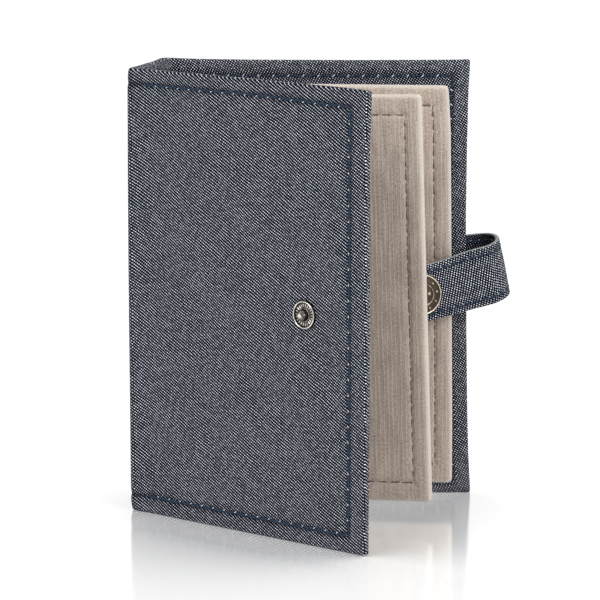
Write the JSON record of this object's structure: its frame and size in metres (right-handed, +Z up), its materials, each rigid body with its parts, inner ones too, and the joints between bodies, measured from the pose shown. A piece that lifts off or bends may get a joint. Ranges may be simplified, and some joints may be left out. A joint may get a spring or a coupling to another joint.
{
  "type": "earring book",
  "caption": "Small cloth-covered standing book with padded velvet leaves that hold earrings, closed by a strap with a press stud.",
  "frame": {"origin": "middle of the spine's bottom edge, in the plane of the two cover hinges, on the surface that the book stands on", "axes": "+X from the spine towards the fore edges of the closed book, +Y towards the back cover, +Z up along the spine"},
  "size_m": [0.1229, 0.1151, 0.16],
  "materials": {
    "woven_cloth": "dark navy and pale grey woven cloth",
    "lining_cloth": "the same woven cloth, glued flat",
    "ribbed_velvet": "warm grey velvet with fine ribs",
    "hinge_tape": "grey cloth tape",
    "bookboard": "grey bookbinding board, standing in as wood",
    "stud_metal": "dark nickel, rubbed bright on its rim",
    "cap_metal": "antique copper, rubbed bright on its raised parts",
    "spring_steel": "bright spring wire"
  },
  "bodies": {
    "spine": {"spine_board": "bookboard", "spine_cloth": "woven_cloth", "spine_lining": "lining_cloth", "leaf_1_binding_foot": "hinge_tape", "leaf_2_binding_foot": "hinge_tape"},
    "front_cover": {"front_cover_board": "bookboard", "front_cover_cloth": "woven_cloth", "front_cover_lining": "lining_cloth", "snap_stud": "stud_metal", "snap_eyelet": "stud_metal"},
    "back_cover": {"back_cover_board": "bookboard", "back_cover_cloth": "woven_cloth", "back_cover_lining": "lining_cloth", "strap_base_inner_ply": "woven_cloth", "strap_base_outer_ply": "woven_cloth"},
    "leaf_1_strip": {"leaf_1_hinge_strip": "hinge_tape"},
    "leaf_1": {"leaf_1_board": "bookboard", "leaf_1_front_pad": "ribbed_velvet", "leaf_1_back_pad": "ribbed_velvet"},
    "leaf_2_strip": {"leaf_2_hinge_strip": "hinge_tape"},
    "leaf_2": {"leaf_2_board": "bookboard", "leaf_2_front_pad": "ribbed_velvet", "leaf_2_back_pad": "ribbed_velvet"},
    "strap_curl": {"strap_curl_inner_ply": "woven_cloth", "strap_curl_outer_ply": "woven_cloth"},
    "strap_tip": {"strap_tip_inner_ply": "woven_cloth", "strap_tip_outer_ply": "woven_cloth", "snap_cap": "cap_metal", "snap_socket": "stud_metal", "snap_spring": "spring_steel"}
  },
  "joints": [
    {"name": "front_cover_hinge", "type": "hinge", "parent": "spine", "child": "front_cover", "pos_m": [0, -0.0165, 0], "axis": [0, 0, 1], "range_deg": [-65.8, 24.2]},
    {"name": "back_cover_hinge", "type": "hinge", "parent": "spine", "child": "back_cover", "pos_m": [0, 0.0165, 0], "axis": [0, 0, 1], "range_deg": [-16.7, 73.3]},
    {"name": "leaf_1_fan", "type": "hinge", "parent": "spine", "child": "leaf_1_strip", "pos_m": [0.003, -0.006, 0], "axis": [0, 0, 1], "range_deg": [-10.8, 47.3]},
    {"name": "leaf_1_turn", "type": "hinge", "parent": "leaf_1_strip", "child": "leaf_1", "pos_m": [0.009, -0.00594, 0], "axis": [0, 0, 1], "range_deg": [-24, 7]},
    {"name": "leaf_2_fan", "type": "hinge", "parent": "spine", "child": "leaf_2_strip", "pos_m": [0.003, 0.006, 0], "axis": [0, 0, 1], "range_deg": [-15.6, 68.2]},
    {"name": "leaf_2_turn", "type": "hinge", "parent": "leaf_2_strip", "child": "leaf_2", "pos_m": [0.00886, 0.0073, 0], "axis": [0, 0, 1], "range_deg": [-1.6, 4]},
    {"name": "strap_root", "type": "hinge", "parent": "back_cover", "child": "strap_curl", "pos_m": [0.1048, 0.05066, 0.0851], "axis": [-0.1051, -0.0315, 0.994], "range_deg": [-4, 120]},
    {"name": "strap_tip_hinge", "type": "hinge", "parent": "strap_curl", "child": "strap_tip", "pos_m": [0.11539, 0.03126, 0.0856], "axis": [-0.1051, -0.0315, 0.994], "range_deg": [-4, 118]}
  ],
  "couplings": [
    {"joint": "leaf_1_fan", "follows": "back_cover_hinge", "ratio": 0.645},
    {"joint": "leaf_2_fan", "follows": "back_cover_hinge", "ratio": 0.93}
  ]
}
